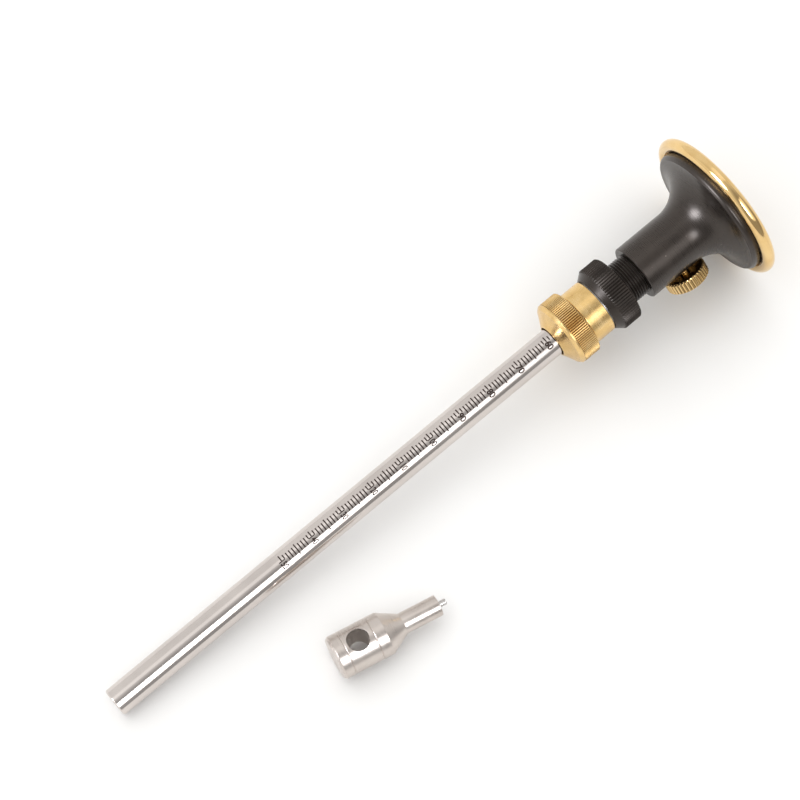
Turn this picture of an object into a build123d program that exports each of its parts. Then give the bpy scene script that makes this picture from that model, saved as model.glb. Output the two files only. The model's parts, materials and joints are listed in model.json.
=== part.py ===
"""Wheel marking gauge with its key, lying on a table the way it is put down after use.

The gauge is modelled along its own axis and then laid down. On that axis a "station" is the
distance from the cutting edge, which is the zero of the scale, toward the tail of the bar.
The laid-down object has +X along the bar toward the head and +Z up.
"""
from build123d import *
import math
import os

# ------------------------------------------------------------------ driving dimensions, mm
RUNNING = 0.04  # radial clearance of a fit that slides or turns
SEAT_GAP = 0.02  # gap left between faces that bear on each other

# Bar
BAR_RADIUS = 4.0
BAR_TAIL = 206.0
TAIL_CHAMFER = 0.4

# Cutter wheel and the screw that holds it on the bar
WHEEL_RADIUS = 7.5
WHEEL_THICKNESS = 2.0
WHEEL_LAND = 0.05
BEVEL_DEPTH = 1.6
HUB_RADIUS = 4.9
CUTTER_THREAD = 1.45
CUTTER_HEAD = 2.7
CUTTER_LENGTH = 10.0
CUTTER_SLOT = (0.9, 0.7)  # width, depth

# Brass face plate with its full-round rim
FACE_STATION = -1.25
RIM_ROUND = 1.75
RIM_RADIUS = 22.2
LIP_RADIUS = 19.4
WHEEL_POCKET = 8.3  # radius of the hole that the cutter wheel draws into
PLATE_CHAMFER = 0.4

# Screws through the face plate
PLATE_SCREWS = 3
PLATE_CIRCLE = 13.5
PLATE_THREAD = 1.2
PLATE_HEAD = 2.3
PLATE_LENGTH = 5.2
PLATE_SLOT = (0.5, 0.55)  # width, depth
TAP_RELIEF = 0.4  # depth of a tapped hole beyond the end of its screw

# Fence body: flange, quarter-round flare and barrel
FLANGE_RADIUS = 19.0
FLANGE_BACK = 4.25
FLANGE_CHAMFER = 0.7
BARREL_RADIUS = 8.0
BARREL_END = 29.3
BARREL_CHAMFER = 0.25
POCKET_FLOOR = 5.6
THREAD_BORE_START = 20.2

# Thumbscrew that locks the bar in the fence
SCREW_STATION = 17.65
SCREW_ANGLE = 134.0  # turn about the axis from straight up toward the key's side, degrees
SCREW_THREAD = 1.5
SPOTFACE_RADIUS = 3.3
SPOTFACE_HEIGHT = 7.6  # distance of the flat from the gauge axis
KNOB_RADIUS = 6.15
KNOB_INNER = 8.8
KNOB_OUTER = 12.2
KNOB_CHAMFER = 0.3
KNOB_TEETH = 36
KNOB_NOTCH = 0.24
PAD_RADIUS = 1.45
PAD_THICKNESS = 1.2

# Fine adjuster: threaded sleeve with a knurled ring locked on it
ADJUSTER_THREAD = 6.15
ADJUSTER_PITCH = 0.75
SLEEVE_START = 24.0
SLEEVE_SEAT = 5.9  # radius of the plain seat under the knurled ring
RING_START = 35.2
RING_RADIUS = 9.7
RING_EDGE = 0.3
RING_BACK = 40.35
RING_END = 42.65
RING_END_RADIUS = 7.9

# Collet that grips the bar
COLLET_TUBE = 5.0
COLLET_START = 22.7
COLLAR_START = 43.0
COLLAR_END = 49.1
COLLAR_RADIUS = 7.9
COLLAR_CHAMFER = 0.25
COLLET_THREAD = 6.0
COLLET_NOSE_START = 52.9
COLLET_END = 54.6
COLLET_NOSE = 4.9
SLITS = 4
SLIT_WIDTH = 0.8
SLIT_START = 49.6

# Ring clip, thrust washer and cone ring
CLIP_START = 23.3
CLIP_THICKNESS = 0.6
CLIP_GROOVE = 4.6
CLIP_RADIUS = 5.6
CLIP_GAP = 3.0
WASHER_RADIUS = 7.2
CONE_START = 53.6
CONE_END = 55.35
CONE_RADIUS = 5.95

# Collet nut: knurled, with a plain rim and a chamfer down to a small step, then conical
NUT_START = 49.45
NUT_RADIUS = 9.52
NUT_EDGE = 0.3
NUT_RIM_END = 55.0
NUT_CHAMFER = 0.8
NUT_STEP = 0.15
NUT_END = 57.95
NUT_LAND = 0.3  # width of the flat ring round the mouth
NUT_MOUTH = 4.5

# Key: turned handle with a cross hole and a small forked bit
KEY_RADIUS = 6.0
KEY_CHAMFER = 0.6
KEY_SHOULDER = 14.35
KEY_NECK_START = 19.75
KEY_NECK_END = 30.3
KEY_NECK = 2.9
KEY_TIP = 32.5
KEY_GROOVES = (3.15, 11.35)
KEY_GROOVE_DEPTH = 0.18
KEY_HOLE = 3.0
KEY_HOLE_STATION = 7.1
BIT_RADIUS = 0.85
BIT_BED = 4.0  # length of the bit that is pressed into the neck
FORK_SLOT = (0.55, 1.6)  # width, depth

# Where the key lies, measured from the point on the table under the scale's zero
KEY_ALONG = -154.7
KEY_ASIDE = -27.5
KEY_ROLL = -4.5  # lean of the cross hole from upright; less than zero is toward the bar, degrees
KEY_TURN = -11.5  # degrees from the bar's direction

# ------------------------------------------------------------------ worked-out dimensions
RIM_STATION = FACE_STATION + RIM_ROUND  # plane of the rim, and of the plate's back face
RIM_CENTRE = RIM_RADIUS - RIM_ROUND
POCKET_BORE = BAR_RADIUS + RUNNING
THREAD_DEPTH = 0.6 * ADJUSTER_PITCH

# The gauge rests on the rim of its face plate and on the tail of its bar.
REST_REACH = BAR_TAIL - TAIL_CHAMFER - RIM_STATION
REST_DROP = RIM_CENTRE - BAR_RADIUS
TILT = math.degrees(math.atan2(REST_DROP, REST_REACH) + math.asin(RIM_ROUND / math.hypot(REST_REACH, REST_DROP)))
AXIS_HEIGHT = RIM_CENTRE * math.cos(math.radians(TILT)) + RIM_ROUND + RIM_STATION * math.sin(math.radians(TILT))


# ------------------------------------------------------------------ helpers
def turned(outline):
    """Solid of revolution about the gauge axis from (station, radius) corners."""
    return revolve(make_face(Polyline(*outline, close=True)), Axis.X)


def rod(start, end, radius):
    """Plain cylinder on the gauge axis between two stations."""
    cylinder = Cylinder(radius, end - start, align=(Align.CENTER, Align.CENTER, Align.MIN))
    return Pos(start, 0, 0) * Rot(0, 90, 0) * cylinder


def stud(bottom, top, radius):
    """Plain cylinder standing on the gauge axis, between two heights from it."""
    cylinder = Cylinder(radius, top - bottom, align=(Align.CENTER, Align.CENTER, Align.MIN))
    return Pos(0, 0, bottom) * cylinder


def countersunk_screw(face, head, thread, length, slot):
    """Slotted countersunk screw whose flat head lies at a station and points to the front."""
    width, depth = slot
    sink = head - thread
    body = turned([(face, 0), (face, head), (face + sink, thread), (face + length, thread), (face + length, 0)])
    return body - Pos(face, 0, 0) * Box(2 * depth, 2 * head + 1, width)


def around_axis(part, count, radius):
    """Copies of a part spaced evenly round the gauge axis at a radius."""
    return [Rot(360 * i / count, 0, 0) * Pos(0, 0, radius) * part for i in range(count)]


def on_screw_axis(part):
    """Moves a part built standing on the axis to the thumbscrew's place."""
    return Pos(SCREW_STATION, 0, 0) * Rot(-SCREW_ANGLE, 0, 0) * part


# ------------------------------------------------------------------ bar and cutter
def bar():
    """Round bar, tapped in its front end for the cutter screw."""
    outline = [
        (WHEEL_THICKNESS + SEAT_GAP, 0),
        (WHEEL_THICKNESS + SEAT_GAP, BAR_RADIUS),
        (BAR_TAIL - TAIL_CHAMFER, BAR_RADIUS),
        (BAR_TAIL, BAR_RADIUS - TAIL_CHAMFER),
        (BAR_TAIL, 0),
    ]
    return turned(outline) - rod(0, CUTTER_LENGTH + TAP_RELIEF, CUTTER_THREAD + RUNNING)


def cutter_wheel():
    """Hardened disc: flat in front, bevelled behind, with a countersunk hole."""
    sink = CUTTER_HEAD - CUTTER_THREAD
    hole = CUTTER_THREAD + RUNNING
    outline = [
        (0, hole + sink),
        (0, WHEEL_RADIUS),
        (WHEEL_LAND, WHEEL_RADIUS),
        (BEVEL_DEPTH, HUB_RADIUS),
        (WHEEL_THICKNESS, HUB_RADIUS),
        (WHEEL_THICKNESS, hole),
        (sink, hole),
    ]
    return turned(outline)


def cutter_screw():
    """Slotted countersunk screw that holds the wheel on the bar."""
    return countersunk_screw(0, CUTTER_HEAD, CUTTER_THREAD, CUTTER_LENGTH, CUTTER_SLOT)


# ------------------------------------------------------------------ head
def face_plate():
    """Brass disc with a full-round rim, hollowed behind to take the fence flange."""
    quarter = RIM_ROUND * math.sin(math.radians(45))
    lip_back = RIM_STATION + math.sqrt(RIM_ROUND**2 - (RIM_CENTRE - LIP_RADIUS) ** 2)
    front = Line((FACE_STATION, WHEEL_POCKET + PLATE_CHAMFER), (FACE_STATION, RIM_CENTRE))
    rim = ThreePointArc(
        (FACE_STATION, RIM_CENTRE),
        (RIM_STATION + quarter, RIM_CENTRE + quarter),
        (lip_back, LIP_RADIUS),
    )
    inside = Polyline(
        (lip_back, LIP_RADIUS),
        (RIM_STATION, LIP_RADIUS),
        (RIM_STATION, WHEEL_POCKET),
        (FACE_STATION + PLATE_CHAMFER, WHEEL_POCKET),
        (FACE_STATION, WHEEL_POCKET + PLATE_CHAMFER),
    )
    plate = revolve(make_face(front + rim + inside), Axis.X)
    sink = PLATE_HEAD - PLATE_THREAD
    hole = PLATE_THREAD + RUNNING
    bore = turned([
        (FACE_STATION, 0),
        (FACE_STATION, hole + sink),
        (FACE_STATION + sink, hole),
        (RIM_STATION, hole),
        (RIM_STATION, 0),
    ])
    for hole_cut in around_axis(bore, PLATE_SCREWS, PLATE_CIRCLE):
        plate -= hole_cut
    return plate


def face_plate_screws():
    """The small screws that hold the face plate on the fence body."""
    screw = countersunk_screw(FACE_STATION, PLATE_HEAD, PLATE_THREAD, PLATE_LENGTH, PLATE_SLOT)
    return Compound(children=around_axis(screw, PLATE_SCREWS, PLATE_CIRCLE))


def fence_body():
    """Black flared body: flange, quarter-round flare and barrel, bored right through."""
    rim_back = FLANGE_RADIUS - FLANGE_CHAMFER
    flare = rim_back - BARREL_RADIUS
    bulge = flare * (1 - math.cos(math.radians(45)))
    flange = Polyline(
        (RIM_STATION, WHEEL_POCKET),
        (RIM_STATION, FLANGE_RADIUS),
        (FLANGE_BACK - FLANGE_CHAMFER, FLANGE_RADIUS),
        (FLANGE_BACK, rim_back),
    )
    sweep = ThreePointArc(
        (FLANGE_BACK, rim_back),
        (FLANGE_BACK + bulge, BARREL_RADIUS + bulge),
        (FLANGE_BACK + flare, BARREL_RADIUS),
    )
    thread_bore = ADJUSTER_THREAD + RUNNING
    barrel = Polyline(
        (FLANGE_BACK + flare, BARREL_RADIUS),
        (BARREL_END - BARREL_CHAMFER, BARREL_RADIUS),
        (BARREL_END, BARREL_RADIUS - BARREL_CHAMFER),
        (BARREL_END, thread_bore),
        (THREAD_BORE_START, thread_bore),
        (THREAD_BORE_START, POCKET_BORE),
        (POCKET_FLOOR, POCKET_BORE),
        (POCKET_FLOOR, WHEEL_POCKET),
        (RIM_STATION, WHEEL_POCKET),
    )
    body = revolve(make_face(flange + sweep + barrel), Axis.X)
    body -= on_screw_axis(stud(0, 2 * BARREL_RADIUS, SCREW_THREAD + RUNNING))
    body -= on_screw_axis(stud(SPOTFACE_HEIGHT, 2 * BARREL_RADIUS, SPOTFACE_RADIUS))
    tapped_hole = rod(0, FACE_STATION + PLATE_LENGTH + TAP_RELIEF, PLATE_THREAD + RUNNING)
    for hole in around_axis(tapped_hole, PLATE_SCREWS, PLATE_CIRCLE):
        body -= hole
    return body


# ------------------------------------------------------------------ thumbscrew
def thumbscrew():
    """Brass knob with a toothed edge on a threaded stem."""
    stem_end = BAR_RADIUS + SEAT_GAP + PAD_THICKNESS + SEAT_GAP
    knob = stud(KNOB_INNER, KNOB_OUTER, KNOB_RADIUS)
    knob = chamfer(knob.edges(), KNOB_CHAMFER)
    notch = stud(KNOB_INNER - 1, KNOB_OUTER + 1, KNOB_NOTCH)
    for i in range(KNOB_TEETH):
        knob -= Rot(0, 0, 360 * i / KNOB_TEETH) * Pos(KNOB_RADIUS, 0, 0) * notch
    return on_screw_axis(knob + stud(stem_end, KNOB_INNER + 1, SCREW_THREAD))


def thumbscrew_pad():
    """Loose disc between the thumbscrew and the bar, so that the bar isn't marked."""
    bottom = BAR_RADIUS + SEAT_GAP
    return on_screw_axis(stud(bottom, bottom + PAD_THICKNESS, PAD_RADIUS))


# ------------------------------------------------------------------ fine adjuster
def adjuster_sleeve():
    """Sleeve with a fine outside thread, and a plain seat for the knurled ring."""
    crests = int((RING_START - SLEEVE_START) / ADJUSTER_PITCH)
    first = RING_START - crests * ADJUSTER_PITCH
    root = ADJUSTER_THREAD - THREAD_DEPTH
    outline = [(SLEEVE_START, COLLET_TUBE + RUNNING), (SLEEVE_START, root)]
    for i in range(crests):
        start = first + i * ADJUSTER_PITCH
        outline.append((start, root))
        outline.append((start + 0.4 * ADJUSTER_PITCH, ADJUSTER_THREAD))
        outline.append((start + 0.6 * ADJUSTER_PITCH, ADJUSTER_THREAD))
    outline.append((RING_START, root))
    outline.append((RING_START, SLEEVE_SEAT))
    outline.append((RING_END, SLEEVE_SEAT))
    outline.append((RING_END, COLLET_TUBE + RUNNING))
    return turned(outline)


def adjuster_ring():
    """Knurled ring that turns the sleeve."""
    outline = [
        (RING_START, SLEEVE_SEAT),
        (RING_START, RING_RADIUS - RING_EDGE),
        (RING_START + RING_EDGE, RING_RADIUS),
        (RING_BACK, RING_RADIUS),
        (RING_END, RING_END_RADIUS),
        (RING_END, SLEEVE_SEAT),
    ]
    return turned(outline)


def adjuster_washer():
    """Thin thrust washer between the knurled ring and the collar."""
    start = RING_END + SEAT_GAP
    end = COLLAR_START - SEAT_GAP
    return rod(start, end, WASHER_RADIUS) - rod(start - 1, end + 1, COLLET_TUBE + RUNNING)


# ------------------------------------------------------------------ collet
def collet_body():
    """Brass tube through the sleeve, collar, outside thread and slit gripping nose."""
    bore = BAR_RADIUS + RUNNING
    outline = [
        (COLLET_START, bore),
        (COLLET_START, COLLET_TUBE),
        (CLIP_START - SEAT_GAP, COLLET_TUBE),
        (CLIP_START - SEAT_GAP, CLIP_GROOVE),
        (CLIP_START + CLIP_THICKNESS + SEAT_GAP, CLIP_GROOVE),
        (CLIP_START + CLIP_THICKNESS + SEAT_GAP, COLLET_TUBE),
        (COLLAR_START, COLLET_TUBE),
        (COLLAR_START, COLLAR_RADIUS - COLLAR_CHAMFER),
        (COLLAR_START + COLLAR_CHAMFER, COLLAR_RADIUS),
        (COLLAR_END - COLLAR_CHAMFER, COLLAR_RADIUS),
        (COLLAR_END, COLLAR_RADIUS - COLLAR_CHAMFER),
        (COLLAR_END, COLLET_THREAD),
        (COLLET_NOSE_START, COLLET_THREAD),
        (COLLET_END, COLLET_NOSE),
        (COLLET_END, bore),
    ]
    body = turned(outline)
    slit_length = COLLET_END + 1 - SLIT_START
    slit = Pos(SLIT_START + slit_length / 2, 0, 0) * Box(slit_length, 4 * COLLET_THREAD, SLIT_WIDTH)
    for i in range(SLITS // 2):
        body -= Rot(180 * i / (SLITS // 2), 0, 0) * slit
    return body


def collet_clip():
    """Open ring clip in the front end of the collet tube."""
    end = CLIP_START + CLIP_THICKNESS
    ring = rod(CLIP_START, end, CLIP_RADIUS) - rod(CLIP_START - 1, end + 1, CLIP_GROOVE + SEAT_GAP)
    gap = Pos(CLIP_START, 0, CLIP_RADIUS) * Box(4 * CLIP_THICKNESS, CLIP_GAP, 2 * CLIP_RADIUS)
    return ring - gap


def collet_cone_ring():
    """Ring with a tapered bore that the nut pushes over the slit nose."""
    taper = (COLLET_THREAD - COLLET_NOSE) / (COLLET_END - COLLET_NOSE_START)
    wide = COLLET_THREAD - taper * (CONE_START - COLLET_NOSE_START) + RUNNING
    narrow = wide - taper * (CONE_END - CONE_START)
    return turned([(CONE_START, wide), (CONE_START, CONE_RADIUS), (CONE_END, CONE_RADIUS), (CONE_END, narrow)])


def collet_nut():
    """Knurled brass nut with a conical end, screwed on the collet."""
    thread_bore = COLLET_THREAD + RUNNING
    inner_shoulder = CONE_END + SEAT_GAP
    step = (NUT_RIM_END + NUT_CHAMFER, NUT_RADIUS - NUT_CHAMFER)
    outline = [
        (NUT_START, thread_bore),
        (NUT_START, NUT_RADIUS - NUT_EDGE),
        (NUT_START + NUT_EDGE, NUT_RADIUS),
        (NUT_RIM_END, NUT_RADIUS),
        step,
        (step[0], step[1] - NUT_STEP),
        (NUT_END, NUT_MOUTH + NUT_LAND),
        (NUT_END, NUT_MOUTH),
        (inner_shoulder, NUT_MOUTH),
        (inner_shoulder, thread_bore),
    ]
    return turned(outline)


# ------------------------------------------------------------------ key
def key_handle():
    """Turned steel handle: grooved cylinder with a cross hole, cone and neck."""
    outline = [(0, 0), (0, KEY_RADIUS - KEY_CHAMFER), (KEY_CHAMFER, KEY_RADIUS)]
    for groove in KEY_GROOVES:
        outline.append((groove - KEY_GROOVE_DEPTH, KEY_RADIUS))
        outline.append((groove, KEY_RADIUS - KEY_GROOVE_DEPTH))
        outline.append((groove + KEY_GROOVE_DEPTH, KEY_RADIUS))
    outline.append((KEY_SHOULDER, KEY_RADIUS))
    outline.append((KEY_NECK_START, KEY_NECK))
    outline.append((KEY_NECK_END, KEY_NECK))
    outline.append((KEY_NECK_END, 0))
    handle = turned(outline)
    handle -= Pos(KEY_HOLE_STATION, 0, 0) * Cylinder(KEY_HOLE, 4 * KEY_RADIUS)
    return handle - rod(KEY_NECK_END - BIT_BED, KEY_TIP, BIT_RADIUS)


def key_bit():
    """Hardened pin pressed into the neck, slotted at its tip into a small fork."""
    width, depth = FORK_SLOT
    pin = rod(KEY_NECK_END - BIT_BED, KEY_TIP, BIT_RADIUS)
    return pin - Pos(KEY_TIP, 0, 0) * Box(2 * depth, width, 4 * BIT_RADIUS)


# ------------------------------------------------------------------ assembly
GAUGE_PIECES = (
    bar,
    cutter_wheel,
    cutter_screw,
    face_plate,
    face_plate_screws,
    fence_body,
    thumbscrew,
    thumbscrew_pad,
    adjuster_sleeve,
    adjuster_ring,
    adjuster_washer,
    collet_body,
    collet_clip,
    collet_cone_ring,
    collet_nut,
)
KEY_PIECES = (key_handle, key_bit)

LAID_GAUGE = Pos(0, 0, AXIS_HEIGHT) * Rot(0, -TILT, 0) * Rot(0, 0, 180)
LAID_KEY = Pos(KEY_ALONG, KEY_ASIDE, KEY_RADIUS) * Rot(0, 0, KEY_TURN) * Rot(KEY_ROLL, 0, 0)


def lay_down():
    """Every piece where it lies, before the origin is moved to the middle of the object."""
    laid = {}
    for make in GAUGE_PIECES:
        laid[make.__name__] = LAID_GAUGE * make()
    for make in KEY_PIECES:
        laid[make.__name__] = LAID_KEY * make()
    return laid


def to_origin(laid):
    """Move that puts the origin at the middle of the underside of the whole object."""
    boxes = [piece.bounding_box() for piece in laid.values()]
    low = [min(box.min.X for box in boxes), min(box.min.Y for box in boxes), min(box.min.Z for box in boxes)]
    high = [max(box.max.X for box in boxes), max(box.max.Y for box in boxes)]
    return Pos(-(low[0] + high[0]) / 2, -(low[1] + high[1]) / 2, -low[2])


LAID = lay_down()
SHIFT = to_origin(LAID)

os.makedirs("parts", exist_ok=True)
for node, piece in LAID.items():
    export_step(SHIFT * piece, f"parts/{node}.step")
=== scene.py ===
"""Looks of a wheel marking gauge lying on a pale table with its small key.

Most pieces are turned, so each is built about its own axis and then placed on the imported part.
Outlines are in millimetres, as (station, radius, rounding) corners. A station is the distance
along the axis: on the gauge from the zero of its scale toward the tail of the bar, on the key
from its big end toward its fork, and on the thumbscrew from the gauge's axis outward.
"""
import json
import math
from collections import namedtuple
import bmesh
import bpy
from mathutils import Matrix, Vector


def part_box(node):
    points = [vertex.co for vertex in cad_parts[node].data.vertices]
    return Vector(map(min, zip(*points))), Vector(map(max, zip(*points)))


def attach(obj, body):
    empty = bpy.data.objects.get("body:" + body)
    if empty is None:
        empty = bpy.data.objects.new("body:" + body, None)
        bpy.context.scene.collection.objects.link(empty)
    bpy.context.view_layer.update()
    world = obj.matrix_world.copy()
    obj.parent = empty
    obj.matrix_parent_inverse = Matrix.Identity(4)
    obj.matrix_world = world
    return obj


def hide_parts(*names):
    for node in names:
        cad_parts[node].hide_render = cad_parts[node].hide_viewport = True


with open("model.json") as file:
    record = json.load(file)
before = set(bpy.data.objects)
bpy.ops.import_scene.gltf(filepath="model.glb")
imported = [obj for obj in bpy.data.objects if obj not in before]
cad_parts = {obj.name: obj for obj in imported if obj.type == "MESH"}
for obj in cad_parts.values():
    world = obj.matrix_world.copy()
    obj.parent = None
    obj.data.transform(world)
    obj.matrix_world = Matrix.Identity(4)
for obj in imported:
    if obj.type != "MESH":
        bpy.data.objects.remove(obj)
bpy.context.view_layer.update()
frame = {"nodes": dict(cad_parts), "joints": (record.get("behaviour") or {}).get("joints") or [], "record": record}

MM = 0.001
TURN = 2 * math.pi
WELD = 1e-7  # metres; points closer than this are one point
SMOOTH_UP_TO = math.radians(30)
ARC_STEP = math.radians(15)
SMALL = 64  # segments of a small screw or hole
MEDIUM = 96  # segments of a small hole or pin with a visible edge
ROUND = 192  # segments of a plain turned piece
FINE = 288  # segments of a large or close-up turned piece
HOLD_REACH = 1.2  # how far a rounding's holding points lie from its corner, as a part of its reach
HOLD = 0.05  # distance of a row of points that keeps the shading beside a knurled edge even
KNURL_FACE = 0.4  # width of the outermost ring of a knurled piece's flat face
KNURL_STEPS = 8  # segments to a tooth of a knurled edge
RUNNING = 0.04  # radial clearance of a fit that slides or turns
SEAT_GAP = 0.02  # gap left between faces that bear on each other
TAP_RELIEF = 0.4  # depth of a tapped hole beyond the end of its screw

Span = namedtuple("Span", "start end inner outer")  # first and last station, least and greatest radius


# ------------------------------------------------------------------ places read from the frame
def axes_to_matrix(origin, along, up):
    """Placement whose X runs along a direction and whose Z is as near as possible to another."""
    x = Vector(along).normalized()
    z = (Vector(up) - x * x.dot(Vector(up))).normalized()
    y = z.cross(x)
    place = Matrix((x, y, z)).transposed().to_4x4()
    place.translation = origin
    return place


def span(node, place):
    """What a CAD node takes up along an axis and out from it, in millimetres."""
    inverse = place.inverted()
    points = [inverse @ vertex.co / MM for vertex in frame["nodes"][node].data.vertices]
    stations = [point.x for point in points]
    radii = [math.hypot(point.y, point.z) for point in points]
    return Span(min(stations), max(stations), min(radii), max(radii))


JOINTS = {joint["name"]: joint for joint in frame["joints"]}
MOUNTS = {mount["name"]: mount for mount in frame["record"]["mounts"]}
WORLD_UP = Vector((0, 0, 1))
GAUGE = axes_to_matrix(Vector(JOINTS["collet_turn"]["pos_m"]), JOINTS["collet_turn"]["axis"], WORLD_UP)

# The thumbscrew's own axis starts on the gauge axis and points out of the barrel.
KNOB_OUT = Vector(JOINTS["thumbscrew_turn"]["axis"])
KNOB_SEAT = Vector(JOINTS["thumbscrew_turn"]["pos_m"])
GAUGE_AXIS = GAUGE.col[0].to_3d()
KNOB_FOOT = GAUGE.translation + GAUGE_AXIS * GAUGE_AXIS.dot(KNOB_SEAT - GAUGE.translation)
KNOB = axes_to_matrix(KNOB_FOOT, KNOB_OUT, GAUGE_AXIS)


def key_place():
    """Placement of the key: origin at its big end, X toward its forked tip."""
    hole = Vector(MOUNTS["key_hole"]["pos_m"])
    bit_low, bit_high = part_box("key_bit")
    toward_tip = (bit_low + bit_high) / 2 - hole
    toward_tip.z = 0
    place = axes_to_matrix(hole, toward_tip, MOUNTS["key_hole"]["axis"])
    big_end = span("key_handle", place).start
    place.translation = hole + place.col[0].to_3d() * big_end * MM
    return place


KEY = key_place()


# ------------------------------------------------------------------ outlines
def rounded(corners):
    """Closed outline of (station, radius) points through corners, with arcs where they are rounded.

    A holding point beside each end of an arc keeps the shading of the straight stretches even.
    """
    outline = []
    for index, (station, radius, rounding) in enumerate(corners):
        if not rounding:
            outline.append((station, radius))
            continue
        corner = Vector((station, radius))
        to_last = (Vector(corners[index - 1][:2]) - corner).normalized()
        to_next = (Vector(corners[(index + 1) % len(corners)][:2]) - corner).normalized()
        half = to_last.angle(to_next) / 2
        reach = rounding / math.tan(half)
        hold = reach * HOLD_REACH
        centre = corner + (to_last + to_next).normalized() * rounding / math.sin(half)
        start = corner + to_last * reach - centre
        turn = start.angle_signed(corner + to_next * reach - centre)
        steps = max(2, math.ceil(abs(turn) / ARC_STEP))
        outline.append(tuple(corner + to_last * hold))
        for step in range(steps + 1):
            outline.append(tuple(centre + Matrix.Rotation(-turn * step / steps, 2) @ start))
        outline.append(tuple(corner + to_next * hold))
    return outline


def groove(angle, teeth, depth, crest):
    """How deep a knurled edge is cut at an angle: V grooves with flat crests between them."""
    phase = angle * teeth / TURN % 1
    rise = abs(phase - 0.5) / 0.5
    return depth * max(0.0, 1 - rise / (1 - crest))


# ------------------------------------------------------------------ meshes
def skin(name, section, segments=ROUND):
    """Closed mesh turned about X. section(angle) is its outline at an angle from up, toward +Y."""
    shape = bmesh.new()
    columns = []
    for index in range(segments + 1):
        angle = TURN * index / segments
        side = math.sin(angle)
        up = math.cos(angle)
        column = [shape.verts.new((s * MM, r * side * MM, r * up * MM)) for s, r in section(angle)]
        columns.append(column)
    count = len(columns[0])
    on_axis = [radius == 0 for station, radius in section(0)]
    for left, right in zip(columns, columns[1:]):
        for here in range(count):
            there = (here + 1) % count
            if on_axis[here] and on_axis[there]:
                continue
            shape.faces.new((left[here], right[here], right[there], left[there]))
    bmesh.ops.remove_doubles(shape, verts=shape.verts, dist=WELD)
    bmesh.ops.recalc_face_normals(shape, faces=shape.faces)
    return to_mesh(name, shape)


def to_mesh(name, shape):
    """Mesh data from a bmesh, which is freed."""
    mesh = bpy.data.meshes.new(name)
    shape.to_mesh(mesh)
    shape.free()
    return mesh


def turned(name, corners, segments=ROUND):
    """Closed mesh with the same outline all the way round."""
    outline = rounded(corners)
    return skin(name, lambda angle: outline, segments)


def carved(mesh, cutter, place=Matrix.Identity(4)):
    """The mesh less a cutter's shape, with the cutter placed first."""
    cutter.transform(place)
    blank = bpy.data.objects.new("blank", mesh)
    tool = bpy.data.objects.new("tool", cutter)
    for item in (blank, tool):
        bpy.context.scene.collection.objects.link(item)
    cut = blank.modifiers.new("cut", "BOOLEAN")
    cut.operation = "DIFFERENCE"
    cut.solver = "EXACT"
    cut.object = tool
    shaped = bpy.data.meshes.new_from_object(blank.evaluated_get(bpy.context.evaluated_depsgraph_get()))
    for item in (blank, tool):
        bpy.data.objects.remove(item)
    return shaped


def joined(name, meshes):
    """One mesh from several."""
    shape = bmesh.new()
    for mesh in meshes:
        shape.from_mesh(mesh)
    return to_mesh(name, shape)


def slab(width, depth, height):
    """Box mesh centred on the origin, sides given in millimetres along X, Y and Z."""
    shape = bmesh.new()
    bmesh.ops.create_cube(shape, size=1)
    bmesh.ops.scale(shape, vec=Vector((width, depth, height)) * MM, verts=shape.verts)
    return to_mesh("slab", shape)


def show(name, mesh, place, body, slot, finish, *nodes):
    """Puts a finished mesh in the scene, riding on a body in place of CAD nodes."""
    mesh.shade_smooth()
    mesh.set_sharp_from_angle(angle=SMOOTH_UP_TO)
    mesh.materials.clear()
    mesh.materials.append(finish)
    item = bpy.data.objects.new(name, mesh)
    item.matrix_world = place
    bpy.context.scene.collection.objects.link(item)
    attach(item, body)
    if nodes:
        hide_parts(*nodes)


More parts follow.
